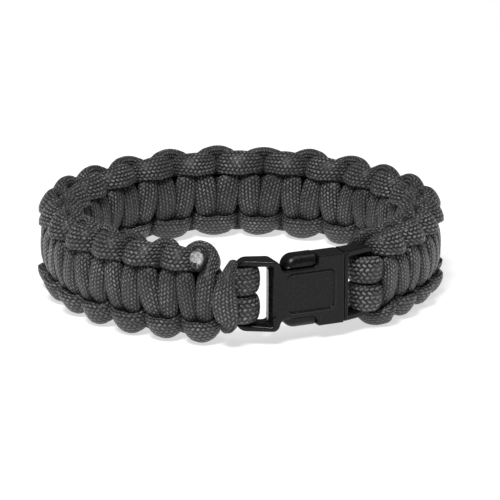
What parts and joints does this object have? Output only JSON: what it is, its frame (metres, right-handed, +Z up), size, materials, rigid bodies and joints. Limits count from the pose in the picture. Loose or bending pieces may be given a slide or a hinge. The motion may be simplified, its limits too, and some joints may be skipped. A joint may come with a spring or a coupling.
{
  "type": "paracord bracelet",
  "caption": "Square-knot cord bracelet worked round two core cords and closed by a contoured side-release buckle, lying on its edge.",
  "frame": {"origin": "centre of the wrist opening, on the ground that the band's lower edge rests on", "axes": "+Z up along the ring's axis, -Y from the centre towards the buckle's face, +X towards the plug's side of the buckle"},
  "size_m": [0.0868, 0.0871, 0.0201],
  "materials": {
    "buckle_plastic": "satin black moulded plastic with a fine grain",
    "core_cord": "braided charcoal cord sheath with grey flecks",
    "front_cord": "braided charcoal cord sheath with grey flecks",
    "back_cord": "braided charcoal cord sheath with grey flecks",
    "melted_tip": "melted pale core yarn"
  },
  "bodies": {
    "root": {"buckle_socket": "buckle_plastic", "buckle_plug": "buckle_plastic", "core_cord": "core_cord", "front_strand": "front_cord", "back_strand": "back_cord", "melted_end": "melted_tip"}
  },
  "joints": []
}
